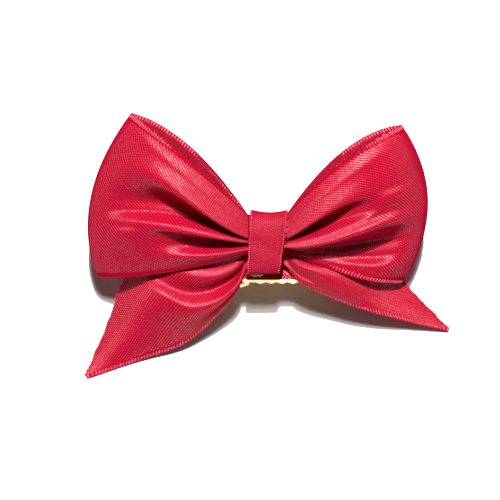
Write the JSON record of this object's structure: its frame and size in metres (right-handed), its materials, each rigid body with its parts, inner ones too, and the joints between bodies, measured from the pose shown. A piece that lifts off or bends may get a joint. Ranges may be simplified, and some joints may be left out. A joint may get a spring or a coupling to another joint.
{
  "type": "hair bow",
  "caption": "Red satin ribbon hair bow with two loops, two tails and a wrapped knot, glued to a sprung metal clip with toothed jaws.",
  "frame": {"origin": "hair grip: the middle of the bite between the closed jaws, under the knot", "axes": "+X along the clip towards its tip, +Y towards the tops of the loops, +Z out of the bow's face, away from the clip's lower jaw"},
  "size_m": [0.0905, 0.061, 0.0355],
  "materials": {
    "satin": "glossy woven satin, dull on its back",
    "thread": "twisted thread",
    "clip_metal": "pale gold plating",
    "spring_steel": "drawn wire",
    "hot_glue": "milky set glue"
  },
  "bodies": {
    "bow": {"loop_ribbon": "satin", "tail_ribbon": "satin", "centre_band": "satin", "clip_lining": "satin", "binding_thread": "thread", "glue": "hot_glue", "upper_jaw": "clip_metal", "pivot_pin": "clip_metal", "torsion_spring": "spring_steel"},
    "lever_jaw": {"lower_jaw": "clip_metal"}
  },
  "joints": [
    {"name": "jaw_hinge", "type": "hinge", "parent": "bow", "child": "lever_jaw", "pos_m": [-0.007, 0, 0], "axis": [0, 1, 0], "range_deg": [0, 20], "stiffness_Nm_per_rad": 0.02, "springref_deg": -28.65, "deforming": ["torsion_spring"]}
  ]
}
